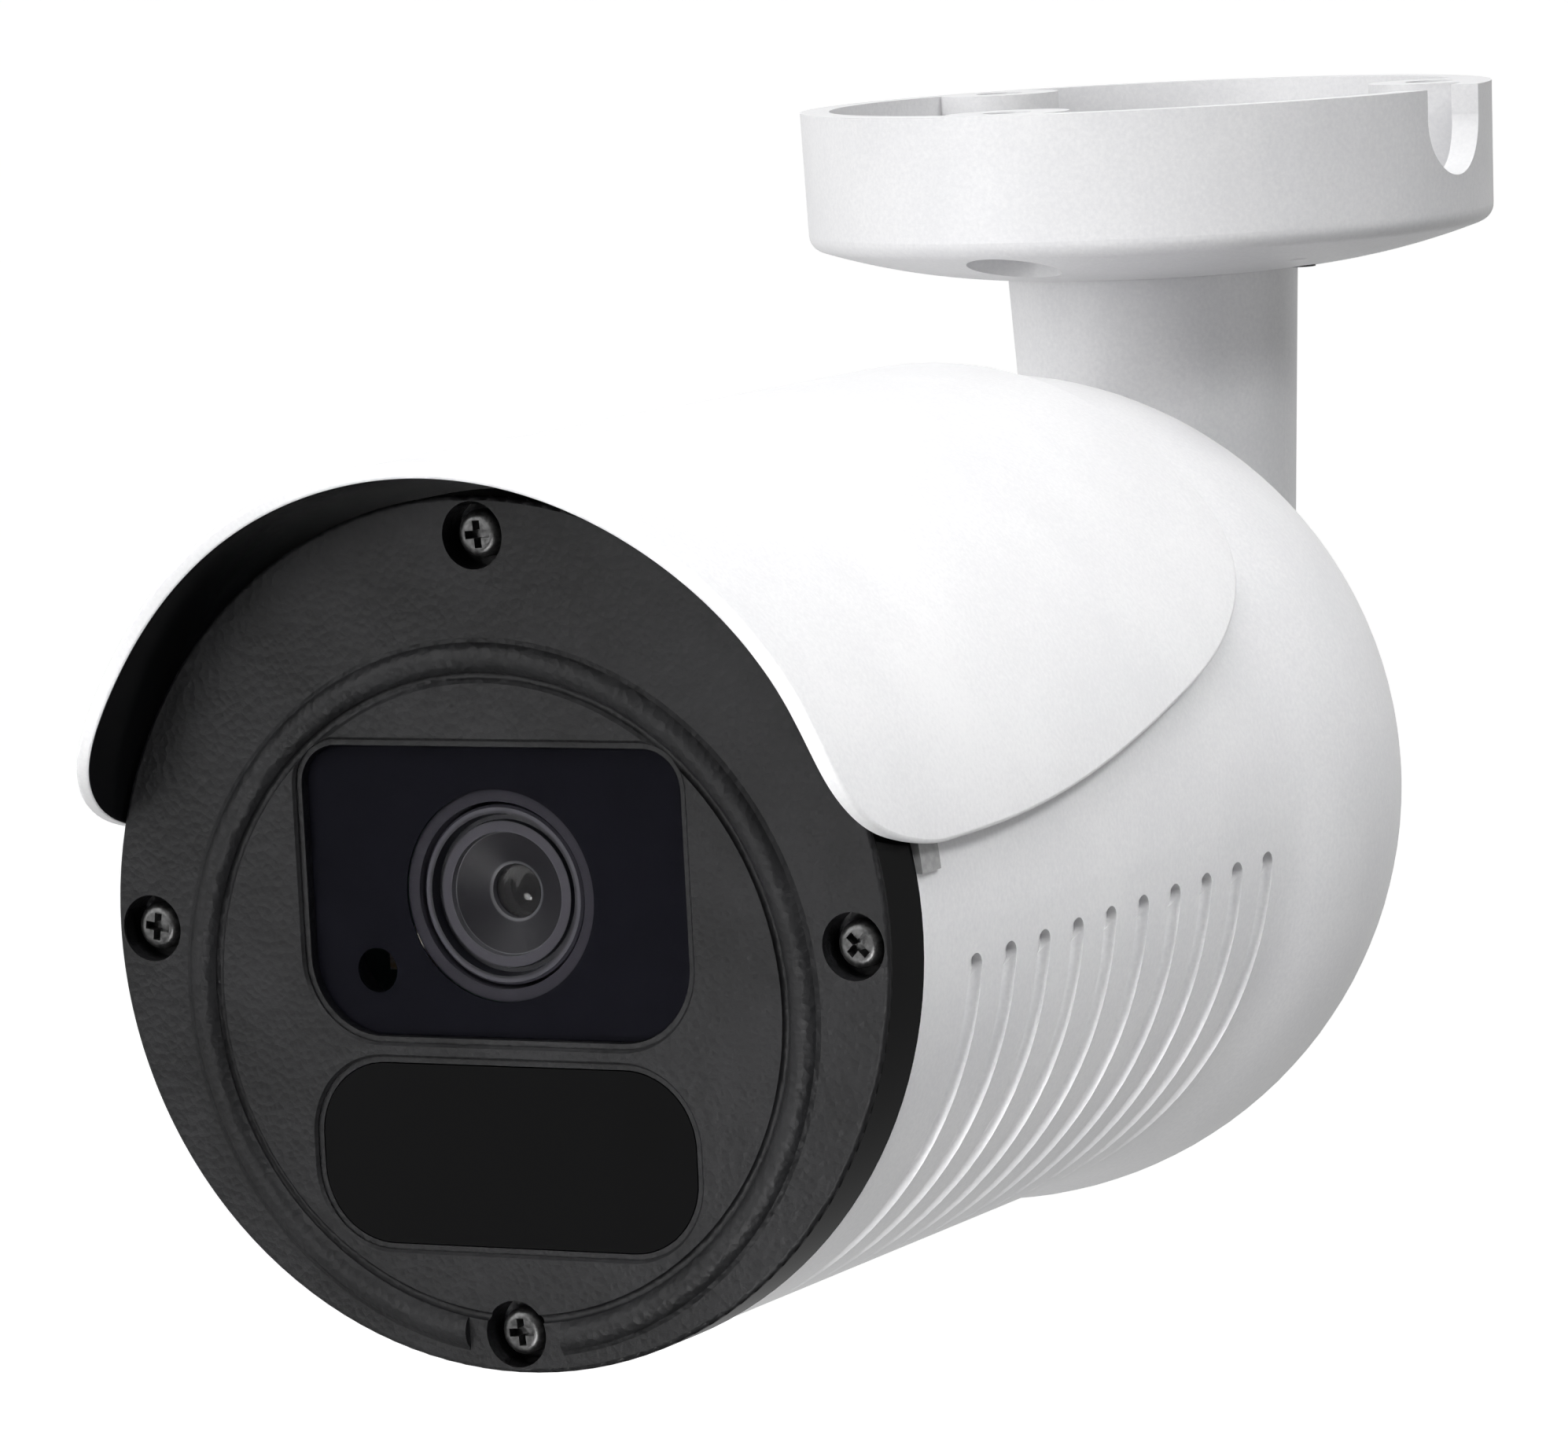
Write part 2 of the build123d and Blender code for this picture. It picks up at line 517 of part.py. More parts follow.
keep_on_camera("lens_barrel", at_lens * lens_barrel())
keep_on_camera("lens_front_element", at_lens * dome_lens(2.15, LENS_FRONT + 2.7, 1.1, 0.6))
keep_on_camera("lens_rear_element", at_lens * dome_lens(3.9, CUT_FRONT - 3.0, 1.6, 0.7))
keep_on_camera("lens_holder", at_lens * lens_holder())

# ---- day and night filter: a frame that slides across the lens axis ------------------------
FILTER_TRAVEL = 6.8
CHANNEL = (CUT_FRONT + 1.2, CUT_FRONT + 2.6)
FRAME_Y = (CHANNEL[0] + 0.2, CHANNEL[1] - 0.2)
PIVOT_Z = 13.5
LEVER = 7.5
lever_angle = 26.96


def filter_case():
    case = block(-13, 13, CUT_FRONT, CHANNEL[1] + 1.2, -8, 8) + block(-13, 13, CUT_FRONT, CHANNEL[0], 8, 16.5)
    case -= block(-11.2, 11.2, CHANNEL[0], CHANNEL[1], -4.6, 4.6)
    case -= block(-6.2, 6.2, CHANNEL[0], CHANNEL[1] + 2, 4.4, 9)
    case -= block(-3.6, 3.6, CUT_FRONT - 1, CHANNEL[1] + 2, -3.2, 3.2)
    for x in (-11.5, 11.5):
        case += block(x - 1.5, x + 1.5, CHANNEL[1] + 1, SENSOR_Y, -5, 5)
    return case + along_y(0.8, CHANNEL[0] - 0.5, CHANNEL[1] + 3.4, 0, PIVOT_Z)


def filter_frame():
    centre = -FILTER_TRAVEL / 2
    frame = block(centre - 7.3, centre + 7.3, *FRAME_Y, -4.4, 4.4)
    for x in (0, -FILTER_TRAVEL):
        frame -= block(x - 3.0, x + 3.0, 0, 60, -3.0, 3.0)
    frame += block(centre - 2.0, centre + 2.0, *FRAME_Y, 4.0, 8.2)
    return frame - block(centre - 0.75, centre + 0.75, 0, 60, 5.2, 9)


def filter_rotor():
    y = CHANNEL[1] + 0.4
    rotor = along_y(2.6, y + 0.2, y + 2.8)
    rotor += block(-0.9, 0.9, y + 0.2, y + 1.0, -LEVER, 0)
    rotor += along_y(0.5, FRAME_Y[0], y + 0.6, 0, -LEVER)
    rotor -= along_y(0.85, 0, 60)
    return Pos(0, 0, PIVOT_Z) * Rot(0, lever_angle, 0) * rotor


keep_on_camera("filter_case", at_lens * filter_case())
keep_on_camera("filter_frame", at_lens * filter_frame())
filter_panes = [
    block(x - 3.0, x + 3.0, FRAME_Y[0] + 0.2, FRAME_Y[1] - 0.2, -3.0, 3.0)
    for x in (0, -FILTER_TRAVEL)
]
keep_on_camera("filter_panes", at_lens * group(filter_panes))
keep_on_camera("filter_rotor", at_lens * filter_rotor())
coil = block(5.6, 12.4, CHANNEL[0], CHANNEL[1] + 3.0, 9.6, 16) - along_y(1.0, 20, 40, 9, 12.8)
keep_on_camera("filter_coil", at_lens * coil)

# ---- sensor board, front board and light sources -------------------------------------------
sensor_board = block(-15, 15, SENSOR_Y, SENSOR_Y + BOARD_T, -10, 10)
corner_spots = [(x, z) for x in (-13, 13) for z in (-8, 8)]
for x, z in corner_spots:
    sensor_board -= along_y(0.9, 20, 40, x, z)
keep_on_camera("sensor_board", at_lens * sensor_board)
chip = block(-4.6, 4.6, SENSOR_Y - 1.5, SENSOR_Y, -3.9, 3.9)
keep_on_camera("image_sensor", at_lens * chip)

front_board = slab(Circle(25.4), FRONT_BOARD_Y, FRONT_BOARD_Y + BOARD_T)
front_board -= along_y(8.6, 0, 20, 0, LENS_Z)
front_board -= block(-30, 30, 0, 20, 14, 30)
board_screw_at = [Pos(x, FRONT_BOARD_Y + BOARD_T, BOARD_POST_Z) for x in (-BOARD_POST_X, BOARD_POST_X)]
for at in board_screw_at:
    front_board -= at * along_y(0.9, -5, 5)
keep_on_camera("front_board", front_board)
keep_on_camera("front_board_screws", group(
    at * Rot(-90, 0, 0) * small_screw(1.7, 1.1, 0.78, 5) for at in board_screw_at
))
led_places = [(-9.5, IR_Z), (9.5, IR_Z)]
keep_on_camera("ir_leds", group(block(x - 1.9, x + 1.9, FRONT_BOARD_Y - 1.4, FRONT_BOARD_Y, z - 1.9, z + 1.9)
                                for x, z in led_places))
reflectors = []
for x, z in led_places:
    cup = Pos(x, 0, z) * spin_y(((2.8, FRONT_BOARD_Y), (4.9, 4.0), (5.4, 4.0), (3.4, FRONT_BOARD_Y)))
    reflectors.append(cup)
keep_on_camera("led_reflectors", group(reflectors))
sensor_foot = Pos(EYELET_X, 0, EYELET_Z)
sensor_chip = block(-2.3, 1.0, FRONT_BOARD_Y - 3.6, FRONT_BOARD_Y, -0.9, 2.1)
keep_on_camera("light_sensor", sensor_foot * sensor_chip)
baffle = along_y(8.5, seal_back - 0.3, FRONT_BOARD_Y) - along_y(7.5, 0, 20)
keep_on_camera("light_baffle", at_lens * baffle)

# ---- chassis and the two main boards --------------------------------------------------------
CHASSIS_Y = 36.4
BOARD_Y = (42.0, 86.0)
MAIN_Z = 11.0
POWER_Z = -12.5


def chassis():
    plate = slab(Circle(30.5) & Rectangle(58, 30), CHASSIS_Y, CHASSIS_Y + 2)
    plate += block(-21, 21, CHASSIS_Y, BOARD_Y[1], -1.2, 1.2)
    plate += block(-9, 9, 44, 66, 1, MAIN_Z - 3.1)
    plate -= block(-9, 9, CHASSIS_Y - 1, CHASSIS_Y + 3, 6, 20)
    for side in (1, -1):
        plate -= along_y(1.2, 30, 40, side * 27.5, 0)
    return plate


keep_on_camera("chassis", chassis())
keep_on_camera("chassis_screws", group(
    Pos(side * 27.5, CHASSIS_Y, 0) * Rot(90, 0, 0) * small_screw(2.0, 1.4, 0.9, 6) for side in (1, -1)
))
posts = [(x, z + LENS_Z) for x, z in corner_spots]
post_y = (SENSOR_Y + BOARD_T, CHASSIS_Y)
keep_on_camera("sensor_posts", group(along_y(1.9, *post_y, x, z) for x, z in posts))
keep_on_camera("sensor_screws", group(
    Pos(x, SENSOR_Y, z) * Rot(90, 0, 0) * small_screw(1.6, 1.1, 0.85, BOARD_T) for x, z in posts
))
board_posts = [(x, y) for x in (-18.5, 18.5) for y in (45.5, 82.5)]
for name, z, half in (("main_board", MAIN_Z, 22), ("power_board", POWER_Z, 21)):
    board = block(-half, half, *BOARD_Y, z - 0.8, z + 0.8)
    for x, y in board_posts:
        board -= along_z(1.0, z - 2, z + 2, x, y)
    keep_on_camera(name, board)
keep_on_camera("board_posts", group(
    [along_z(2.2, 1.2, MAIN_Z - 0.8, x, y) for x, y in board_posts]
    + [along_z(2.2, POWER_Z + 0.8, -1.2, x, y) for x, y in board_posts]
))
board_screws = [Pos(x, y, MAIN_Z + 0.8) * small_screw(1.9, 1.2, 0.9, 1.6) for x, y in board_posts]
for x, y in board_posts:
    board_screws.append(Pos(x, y, POWER_Z - 0.8) * Rot(180, 0, 0) * small_screw(1.9, 1.2, 0.9, 1.6))
keep_on_camera("board_screws", group(board_screws))
keep_on_camera("processor", block(-7, 7, 48, 62, MAIN_Z - 2.1, MAIN_Z - 0.8))
keep_on_camera("thermal_pad", block(-8, 8, 47, 63, MAIN_Z - 3.1, MAIN_Z - 2.1))
memory = [block(x - 4, x + 4, 68, 79, MAIN_Z + 0.8, MAIN_Z + 1.9) for x in (-8, 6)]
memory.append(block(-16, -8, 49, 57, MAIN_Z + 0.8, MAIN_Z + 2.0))
keep_on_camera("memory_chips", group(memory))
headers = [
    block(-8, 8, 43, 46.6, MAIN_Z + 0.8, MAIN_Z + 4.4),
    block(-6, 6, 80.8, 85, POWER_Z - 5.2, POWER_Z - 0.8),
]
keep_on_camera("connectors", group(headers))
keep_on_camera("network_transformer", block(-7, 7, 47, 60, POWER_Z - 6.8, POWER_Z - 0.8))
keep_on_camera("capacitors", group(
    along_z(r, POWER_Z - 0.8 - h, POWER_Z - 0.8, x, y)
    for x, y, r, h in ((-14, 55, 3.1, 9), (-14, 65, 3.1, 9), (13.5, 53, 2.5, 8), (13.5, 61, 2.5, 8))
))
keep_on_camera("power_coil", along_z(5.2, POWER_Z - 6.2, POWER_Z - 0.8, 2, 70) - along_z(2.0, -30, 0, 2, 70))
ribbon_back = SENSOR_Y + BOARD_T
ribbon = block(-6, 6, ribbon_back, 44, MAIN_Z + 4.4, MAIN_Z + 4.7)
ribbon += block(-6, 6, ribbon_back, ribbon_back + 0.3, 10, MAIN_Z + 4.7)
keep_on_camera("ribbon_cable", ribbon)

os.makedirs("parts", exist_ok=True)
for name, shape in parts.items():
    export_step(shape, f"parts/{name}.step")
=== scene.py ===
import json
from math import cos, pi, radians, sin

import bmesh
import bpy
from mathutils import Matrix, Vector


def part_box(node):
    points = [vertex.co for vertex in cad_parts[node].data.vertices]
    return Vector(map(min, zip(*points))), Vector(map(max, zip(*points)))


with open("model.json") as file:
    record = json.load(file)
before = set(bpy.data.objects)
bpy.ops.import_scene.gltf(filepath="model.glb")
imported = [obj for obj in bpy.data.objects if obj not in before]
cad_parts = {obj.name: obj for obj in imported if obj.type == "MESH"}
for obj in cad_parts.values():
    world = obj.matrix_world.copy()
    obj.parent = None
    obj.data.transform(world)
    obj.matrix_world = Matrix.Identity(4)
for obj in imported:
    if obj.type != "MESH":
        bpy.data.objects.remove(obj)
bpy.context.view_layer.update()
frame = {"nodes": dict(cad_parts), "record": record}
nodes = frame["nodes"]

# ---- places taken from the frame ------------------------------------------------------------
cap_low, cap_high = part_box("front_cap")
AXIS_Z = (cap_low.z + cap_high.z) / 2
FACE_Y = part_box("front_cap_screws")[0].y - 0.0008
LENS_Z = (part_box("lens_barrel")[0].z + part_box("lens_barrel")[1].z) / 2
SHIELD_MID_Z = AXIS_Z + 0.002
SHIELD_SHEET = 0.0013
SHIELD_INNER_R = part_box("sunshield")[1].z - SHIELD_MID_Z - SHIELD_SHEET
BAND_R = (0.0340, 0.0343)                 # where the cap's face turns into its side band
BARREL_RIM_R = (0.00655, 0.0068)          # rings of the lens barrel, measured from the lens axis
# painted shade: radii of the black line in the groove and of the darker inner cone
BARREL_GROOVE_SHADE_R = (0.0057, 0.0059)
BARREL_CONE_SHADE_R = (0.00485, 0.00495)
# painted highlight: radii of the pale line at the second ring's inner edge and of the pale throat
BARREL_EDGE_HIGHLIGHT_R = (0.00478, 0.00488, 0.00496, 0.00508)
BARREL_THROAT_HIGHLIGHT_R = (0.00228, 0.0026)


# ---- shader workshop ------------------------------------------------------------------------
class Wire:
    """A node's output socket, or a number, that can be used in sums."""

    def __init__(self, paint, socket):
        self.paint = paint
        self.socket = socket

    def math(self, operation, *values, clamp=False):
        settings = {"operation": operation, "use_clamp": clamp}
        return self.paint.node("ShaderNodeMath", settings, dict(enumerate(values)))

    def __add__(self, other):
        return self.math("ADD", self, other)

    def __radd__(self, other):
        return self.math("ADD", other, self)

    def __sub__(self, other):
        return self.math("SUBTRACT", self, other)

    def __rsub__(self, other):
        return self.math("SUBTRACT", other, self)

    def __mul__(self, other):
        return self.math("MULTIPLY", self, other)

    def __rmul__(self, other):
        return self.math("MULTIPLY", other, self)

    def __pow__(self, other):
        return self.math("POWER", self, other)

    def root(self):
        return self.math("SQRT", self)

    def step(self, low, high):
        """0 below low, 1 above high, smooth between."""
        settings = {"interpolation_type": "SMOOTHSTEP"}
        values = {"Value": self, "From Min": low, "From Max": high}
        return self.paint.node("ShaderNodeMapRange", settings, values)


class Finish:
    """One material: a Principled shader and the nodes that feed it."""

    def __init__(self, name, **constants):
        self.material = bpy.data.materials.new(name)
        self.material.use_nodes = True
        self.tree = self.material.node_tree
        self.shader = self.tree.nodes["Principled BSDF"]
        for socket, value in constants.items():
            self.shader.inputs[socket.replace("_", " ")].default_value = value

    def node(self, kind, settings=None, values=None, output=0):
        made = self.tree.nodes.new(kind)
        for key, value in (settings or {}).items():
            setattr(made, key, value)
        for key, value in (values or {}).items():
            if isinstance(value, Wire):
                self.tree.links.new(value.socket, made.inputs[key])
            else:
                made.inputs[key].default_value = value
        return Wire(self, made.outputs[output])

    def feed(self, socket, wire):
        self.tree.links.new(wire.socket, self.shader.inputs[socket])
        return self

    def place(self):
        return self.node("ShaderNodeTexCoord", output="Object")

    def split(self, vector):
        parts = self.node("ShaderNodeSeparateXYZ", values={0: vector})
        outputs = parts.socket.node.outputs
        return [Wire(self, outputs[i]) for i in range(3)]

    def noise(self, scale, detail=3.0, rough=0.5):
        values = {"Vector": self.place(), "Scale": scale, "Detail": detail, "Roughness": rough}
        return self.node("ShaderNodeTexNoise", None, values)

    def cells(self, scale):
        return self.node("ShaderNodeTexVoronoi", None, {"Vector": self.place(), "Scale": scale})

    def mix(self, factor, first, second):
        """A colour between first (factor 0) and second (factor 1)."""
        return self.node("ShaderNodeMix", {"data_type": "RGBA"}, {0: factor, 6: first, 7: second}, output=2)

    def bump(self, height, strength, distance):
        values = {"Height": height, "Strength": strength, "Distance": distance}
        return self.node("ShaderNodeBump", None, values)

    def blend(self, factor, first, second):
        """Sends a mix of two shaders to the surface."""
        mixed = self.node("ShaderNodeMixShader", None, {0: factor, 1: first, 2: second})
        self.tree.links.new(mixed.socket, self.tree.nodes["Material Output"].inputs["Surface"])

    def own(self):
        return Wire(self, self.shader.outputs[0])

    def radius(self, centre_z=AXIS_Z):
        """Distance from a line along the camera body, in its middle plane."""
        x, _, z = self.split(self.place())
        return (x**2 + (z - centre_z) ** 2).root()


def grey(value, alpha=1.0):
    return (value, value, value, alpha)


# ---- finishes -------------------------------------------------------------------------------
def powder_grain(made):
    """Fine grain, and a soft mottle made of that grain and broad clouds."""
    broad = made.noise(60, 4, 0.55)
    grain = made.noise(2600, 2, 0.6)
    return grain, (broad * 0.5 + grain * 0.5).step(0.3, 0.7)


def white_powder_coat():
    made = Finish("white powder coat", Coat_Weight=0.12, Coat_Roughness=0.25, Specular_IOR_Level=0.45)
    grain, tone = powder_grain(made)
    made.feed("Base Color", made.mix(tone, (0.735, 0.735, 0.75, 1), (0.82, 0.818, 0.825, 1)))
    made.feed("Roughness", 0.36 + 0.14 * grain)
    pebble = made.noise(1500, 2, 0.5)
    made.feed("Normal", made.bump(pebble, 0.12, 0.0002))
    return made


def sunshield_finish():
    """White outside and along the rim, gloss black underneath."""
    made = Finish("sunshield coat", Specular_IOR_Level=0.45)
    inside = 1 - made.radius(SHIELD_MID_Z).step(SHIELD_INNER_R + 0.00005, SHIELD_INNER_R + 0.0001)
    grain, tone = powder_grain(made)
    white = made.mix(tone, (0.76, 0.76, 0.772, 1), (0.84, 0.838, 0.845, 1))
    made.feed("Base Color", made.mix(inside, white, (0.006, 0.006, 0.007, 1)))
    made.feed("Roughness", 0.34 + 0.1 * grain - 0.16 * inside)
    pebble = made.noise(1500, 2, 0.5)
    made.feed("Normal", made.bump(pebble * (1 - 0.8 * inside), 0.10, 0.0002))
    return made


def black_cap_finish():
    """Leathery black on the face, smooth gloss on the side band."""
    made = Finish("black cap coat", Specular_IOR_Level=0.2)
    _, depth, _ = made.split(made.place())
    band = depth.step(FACE_Y + 0.0002, FACE_Y + 0.0004) * made.radius().step(*BAND_R)
    skin = made.cells(1500)
    creases = made.noise(900, 4, 0.6)
    mottle = made.noise(120, 5, 0.6)
    tone = mottle.step(0.3, 0.75)
    face = made.mix(tone, (0.006, 0.006, 0.0065, 1), (0.012, 0.012, 0.013, 1))
    made.feed("Base Color", made.mix(band, face, (0.004, 0.004, 0.0045, 1)))
    made.feed("Roughness", (0.40 + 0.16 * creases) * (1 - band) + 0.12 * band)
    relief = (skin * 0.6 + creases * 0.8) * (1 - band)
    made.feed("Normal", made.bump(relief, 0.6, 0.0002))
    dull = made.node("ShaderNodeBsdfDiffuse", None, {"Color": grey(0.004)})
    made.blend(band * 0.65, made.own(), dull)
    return made


def barrel_finish():
    """Dark anodised rings: a paler rim and a second ring, with painted shade (a black line in the groove, a
    darker cone) and painted highlights (a pale line at the second ring's inner edge, a pale throat).
    """
    made = Finish("black anodised barrel", Metallic=0.3)
    off_axis = made.radius(LENS_Z)
    grain = made.noise(1500, 4, 0.6)
    rim = off_axis.step(*BARREL_RIM_R)
    # painted shade: the groove and the inner cone are darkened in colour, as shadow in the recesses
    groove_shade = off_axis.step(*BARREL_GROOVE_SHADE_R) * (1 - rim)
    cone_shade = 1 - off_axis.step(*BARREL_CONE_SHADE_R)
    # painted highlight: a pale line at the second ring's inner edge and a pale throat stand in for glints
    edge = off_axis.step(*BARREL_EDGE_HIGHLIGHT_R[:2]) * (1 - off_axis.step(*BARREL_EDGE_HIGHLIGHT_R[2:]))
    throat_highlight = 1 - off_axis.step(*BARREL_THROAT_HIGHLIGHT_R)
    ring = made.mix(grain, (0.036, 0.034, 0.044, 1), (0.05, 0.047, 0.06, 1))
    tone = made.mix(rim, ring, (0.06, 0.058, 0.072, 1))
    tone = made.mix(groove_shade, tone, (0.012, 0.012, 0.016, 1))
    tone = made.mix(cone_shade, tone, (0.011, 0.0105, 0.014, 1))
    tone = made.mix((edge + throat_highlight).step(0.2, 1.0), tone, (0.11, 0.11, 0.12, 1))
    made.feed("Base Color", tone)
    made.feed("Roughness", 0.3 + 0.12 * grain + 0.12 * cone_shade)
    made.feed("Normal", made.bump(grain, 0.12, 0.0001))
    return made


def plain_finish(name, low, high, rough, grain_scale=800, metal=0.0, relief=0.1, **constants):
    made = Finish(name, Metallic=metal, **constants)
    grain = made.noise(grain_scale, 4, 0.6)
    made.feed("Base Color", made.mix(grain.step(0.3, 0.7), low, high))
    made.feed("Roughness", rough - 0.08 + 0.16 * grain)
    made.feed("Normal", made.bump(grain, relief, 0.0001))
    return made


def window_finish(name, tint, clear, reflect, sheen):
    """Tinted sheet: seen through by `clear`, with a sharp sheen on top."""
    made = Finish(name, Roughness=0.04, Specular_IOR_Level=0.5)
    smear = made.noise(90, 3, 0.5)
    made.feed("Base Color", made.mix(smear.step(0.3, 0.8), tint, tuple(0.7 * c for c in tint[:3]) + (1,)))
    made.feed("Roughness", 0.02 + 0.04 * smear)
    through = made.node("ShaderNodeBsdfTransparent", None, {"Color": grey(clear)})
    edge = made.node("ShaderNodeFresnel", None, {"IOR": 1.5})
    amount = reflect + edge * sheen
    made.blend(amount, through, made.own())
    return made


WHITE = white_powder_coat()
SHIELD = sunshield_finish()
CAP = black_cap_finish()
SCREW = plain_finish("blackened steel", grey(0.04), grey(0.1), 0.34, 1800, 0.85, 0.3)
STEEL = plain_finish("zinc plated steel", grey(0.42), grey(0.58), 0.32, 1500, 1.0)
RUBBER = plain_finish("black rubber", grey(0.012), grey(0.022), 0.7, 1200)
PAD = plain_finish("grey pad", grey(0.30), grey(0.40), 0.6, 1200)
BARREL = barrel_finish()
BAFFLE = plain_finish("matt baffle", (0.016, 0.015, 0.023, 1), (0.022, 0.02, 0.03, 1), 0.8, 1500)
BLACK_PLASTIC = plain_finish("black moulding", grey(0.012), grey(0.02), 0.5, 900)
FILM = plain_finish(
    "mask film", (0.0045, 0.0045, 0.0075, 1), (0.006, 0.006, 0.0095, 1), 0.7, 300, Specular_IOR_Level=0.05
)
BOARD = plain_finish("circuit laminate", (0.01, 0.07, 0.03, 1), (0.015, 0.1, 0.045, 1), 0.4, 300)
CHIP = plain_finish("moulded chip", grey(0.015), grey(0.03), 0.5, 900)
SENSOR = plain_finish("sensor face", (0.03, 0.03, 0.06, 1), (0.06, 0.05, 0.09, 1), 0.15, 200)
SENSOR_CHIP = plain_finish("pale chip with gold leads", (0.6, 0.42, 0.2, 1), (0.85, 0.83, 0.8, 1), 0.4, 900)
CERAMIC = plain_finish("lamp ceramic", (0.6, 0.55, 0.4, 1), (0.75, 0.7, 0.55, 1), 0.4, 700)
MIRROR = plain_finish("metallised cup", grey(0.6), grey(0.7), 0.12, 500, 1.0, 0.02)
CAST = plain_finish("plain cast metal", grey(0.42), grey(0.52), 0.45, 600, 1.0)
COPPER = plain_finish("enamelled copper", (0.3, 0.13, 0.05, 1), (0.42, 0.2, 0.08, 1), 0.35, 900, 1.0)
POLYMER = plain_finish("low friction polymer", grey(0.55), grey(0.62), 0.5, 600)
CAMERA_GLASS = window_finish("camera window", (0.006, 0.006, 0.011, 1), 0.92, 0.0, 0.25)
LAMP_GLASS = window_finish("lamp window", (0.003, 0.003, 0.0035, 1), 0.06, 0.3, 0.9)
# coated lens: its grey tint is partly the coating's own colour and partly painted reflection that lightens
# the pupil, beside the real sheen
LENS_GLASS = window_finish("coated lens", (0.07, 0.068, 0.07, 1), 0.7, 0.3, 0.9)
FILTER_GLASS = window_finish("filter pane", (0.1, 0.2, 0.2, 1), 0.7, 0.1, 0.9)

BY_SLOT = {
    "white_paint": WHITE, "black_cap": CAP, "dark_screw": SCREW, "steel": STEEL, "rubber": RUBBER,
    "window_glass": CAMERA_GLASS, "ir_glass": LAMP_GLASS, "mask_film": FILM, "pad": PAD,
    "lens_black": BARREL, "lens_glass": LENS_GLASS, "filter_glass": FILTER_GLASS, "board": BOARD,
    "chip": CHIP, "sensor_face": SENSOR, "led": CERAMIC, "reflector": MIRROR, "plated": CAST,
    "copper": COPPER, "black_plastic": BLACK_PLASTIC, "washer": POLYMER,
}
OWN_FINISH = {"sunshield": SHIELD, "light_baffle": BAFFLE, "light_sensor": SENSOR_CHIP}

for part in frame["record"]["subparts"]:
    finish = OWN_FINISH.get(part["node"], BY_SLOT[part["material_slot"]])
    mesh = nodes[part["node"]].data
    mesh.materials.clear()
    mesh.materials.append(finish.material)


# ---- studio ---------------------------------------------------------------------------------
FLOOR_Z = -0.6


def studio_floor():
    """A pale round sheet below the camera, lit evenly by itself so that it stays plain."""
    mesh = bpy.data.meshes.new("studio_floor")
    build = bmesh.new()
    loops = [
        [build.verts.new((r * cos(a * pi / 24), r * sin(a * pi / 24), FLOOR_Z)) for a in range(48)]
        for r in (1, 8, 60)
    ]
    build.faces.new(loops[0])
    for inner, outer in zip(loops, loops[1:]):
        for i in range(48):
            build.faces.new((inner[i], inner[(i + 1) % 48], outer[(i + 1) % 48], outer[i]))
    build.to_mesh(mesh)
    build.free()
    floor = bpy.data.objects.new("studio_floor", mesh)
    bpy.context.scene.collection.objects.link(floor)
    made = Finish(
        "studio floor",
        Roughness=0.9, Specular_IOR_Level=0.1, Emission_Color=grey(1), Emission_Strength=0.55,
    )
    made.feed("Base Color", made.mix(made.noise(2, 2), grey(0.78), grey(0.8)))
    mesh.materials.append(made.material)
    floor.visible_diffuse = False
    floor.visible_glossy = False


def soft_box(name, azimuth, elevation, distance, width, height, power, target=(0, -0.06, -0.05), spread=180):
    lamp = bpy.data.lights.new(name, "AREA")
    lamp.shape = "RECTANGLE"
    lamp.size = width
    lamp.size_y = height
    lamp.energy = power
    lamp.spread = radians(spread)
    holder = bpy.data.objects.new(name, lamp)
    a, e = radians(azimuth), radians(elevation)
    away = Vector((sin(a) * cos(e), -cos(a) * cos(e), sin(e)))
    holder.location = Vector(target) + away * distance
    holder.rotation_euler = away.to_track_quat("Z", "Y").to_euler()
    bpy.context.scene.collection.objects.link(holder)
    return holder


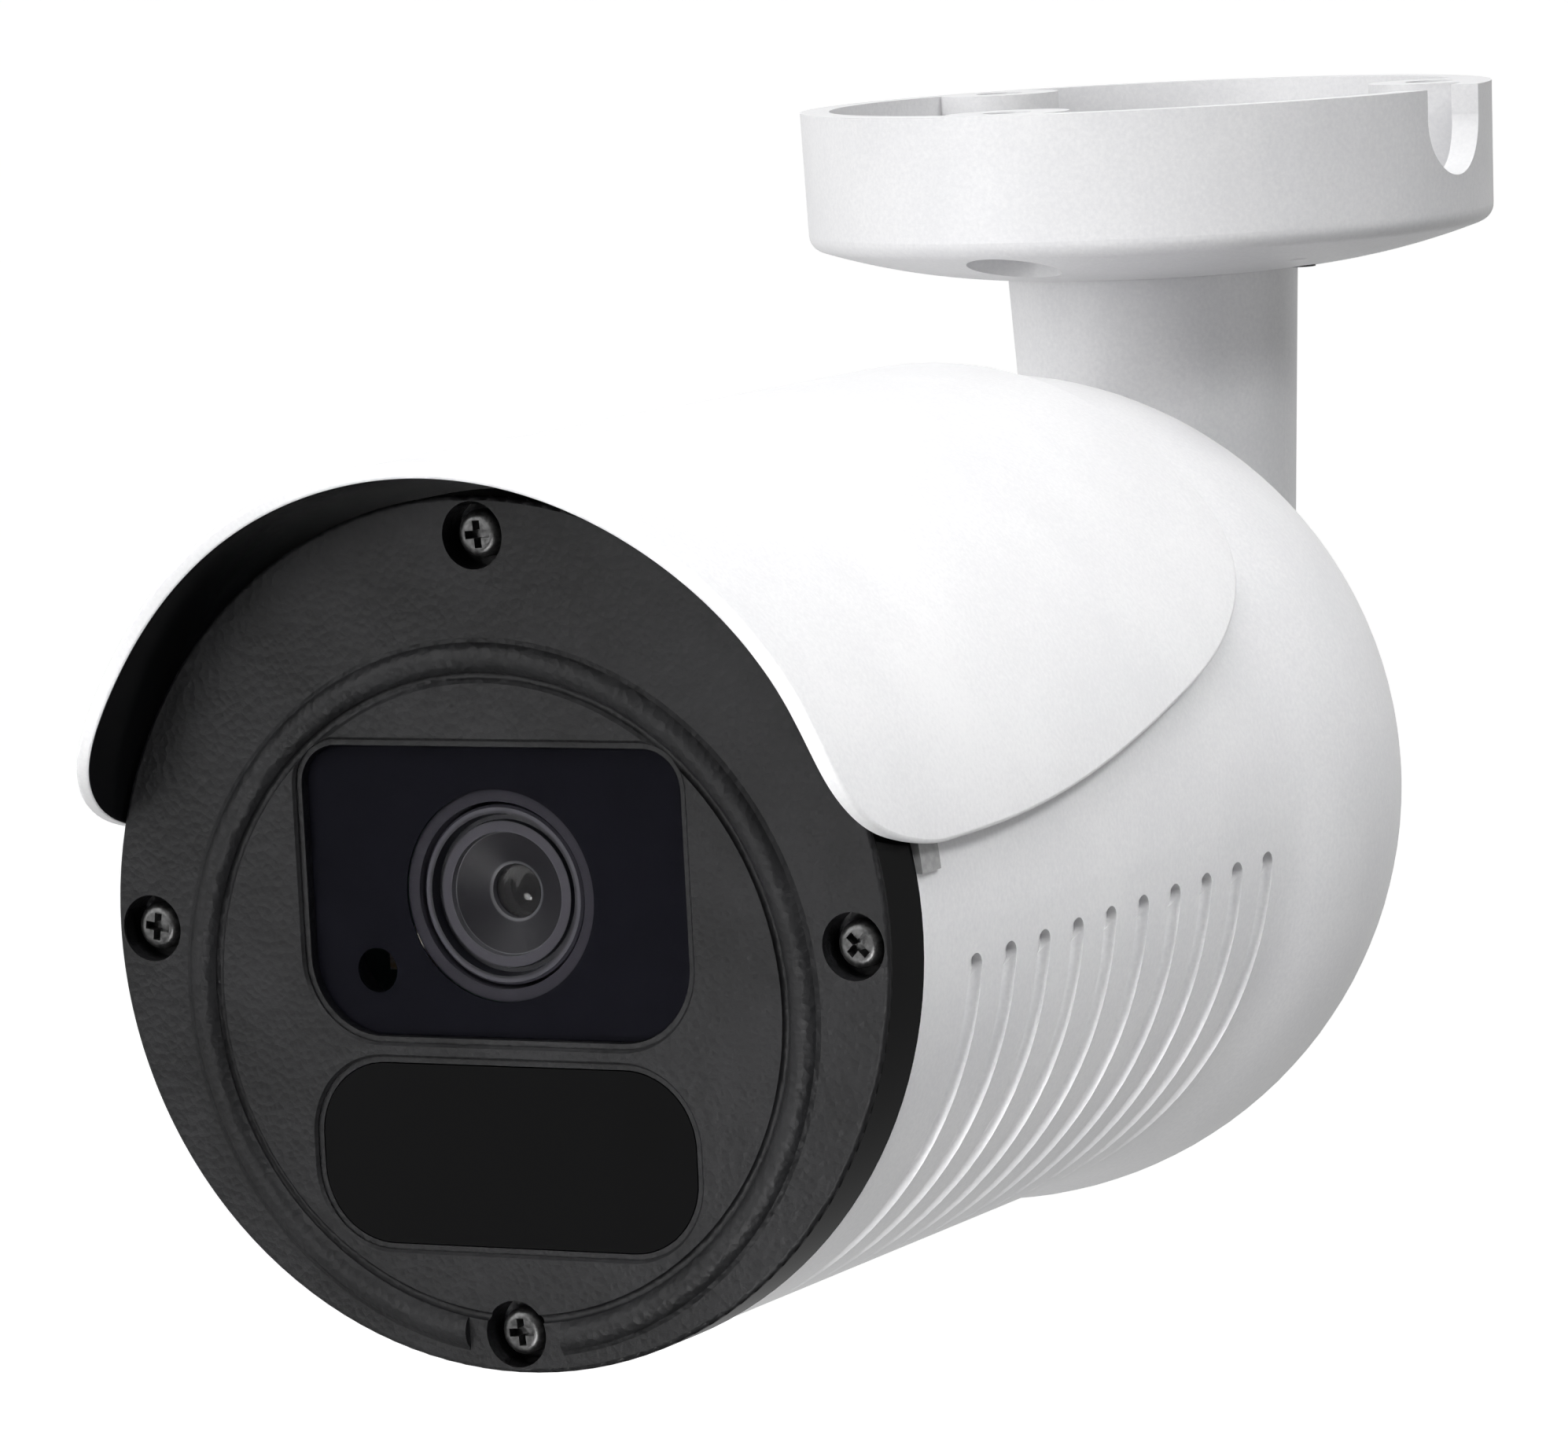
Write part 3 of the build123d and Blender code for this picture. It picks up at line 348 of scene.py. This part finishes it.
studio_floor()
soft_box("overhead_box", 30, 66, 1.3, 0.9, 0.9, 9.0)
soft_box("left_box", -34, 16, 1.3, 0.6, 0.9, 7.8)
soft_box("right_rim", 112, -4, 1.4, 0.5, 1.0, 1.6)
soft_box("shield_box", 62, 38, 0.55, 0.16, 0.16, 0.048, (0.03, -0.095, -0.05), 24)
soft_box("body_box", 98, -16, 0.55, 0.2, 0.2, 0.018, (0.03, -0.07, -0.09), 30)
soft_box("face_box", -6, -24, 0.4, 0.12, 0.12, 0.045, (0.03, -0.127, -0.08), 30)


def studio_air():
    """Even light all round, with a dim side to the right so that round parts get a shaded edge."""
    world = bpy.data.worlds.new("studio_air")
    world.use_nodes = True
    tree = world.node_tree
    sky = tree.nodes["Background"]
    sky.inputs["Color"].default_value = (1, 1, 1, 1)
    facing = tree.nodes.new("ShaderNodeTexCoord")
    toward = tree.nodes.new("ShaderNodeVectorMath")
    toward.operation = "DOT_PRODUCT"
    a = radians(72)
    toward.inputs[1].default_value = (0.92 * sin(a), -0.92 * cos(a), -0.39)
    shade = tree.nodes.new("ShaderNodeMapRange")
    shade.interpolation_type = "SMOOTHSTEP"
    for key, value in {"From Min": -0.6, "From Max": 0.75, "To Min": 0.75, "To Max": 0.12}.items():
        shade.inputs[key].default_value = value
    tree.links.new(facing.outputs["Generated"], toward.inputs[0])
    tree.links.new(toward.outputs["Value"], shade.inputs["Value"])
    tree.links.new(shade.outputs[0], sky.inputs["Strength"])
    bpy.context.scene.world = world


studio_air()
bpy.context.scene.view_settings.view_transform = "Standard"


# ---- camera ---------------------------------------------------------------------------------
VIEW_LENS = 178.5           # millimetres, on a 36 mm wide sensor
VIEW_FROM = (0.30615, -0.65166, 0.02865)
VIEW_TURN = (28.05, 6.78, 2.94)   # azimuth, elevation and roll in degrees


def hang_camera():
    lens = bpy.data.cameras.new("view_camera")
    lens.lens = VIEW_LENS
    lens.sensor_width = 36
    lens.clip_start = 0.01
    lens.clip_end = 200
    eye = bpy.data.objects.new("view_camera", lens)
    a, e, roll = (radians(angle) for angle in VIEW_TURN)
    back = Vector((sin(a) * cos(e), -cos(a) * cos(e), sin(e)))
    level = Vector((cos(a), sin(a), 0))
    rise = back.cross(level)
    right = level * cos(roll) - rise * sin(roll)
    up = level * sin(roll) + rise * cos(roll)
    turned = Matrix((right, up, back)).transposed().to_4x4()
    eye.matrix_world = Matrix.Translation(VIEW_FROM) @ turned
    bpy.context.scene.collection.objects.link(eye)
    bpy.context.scene.camera = eye


hang_camera()
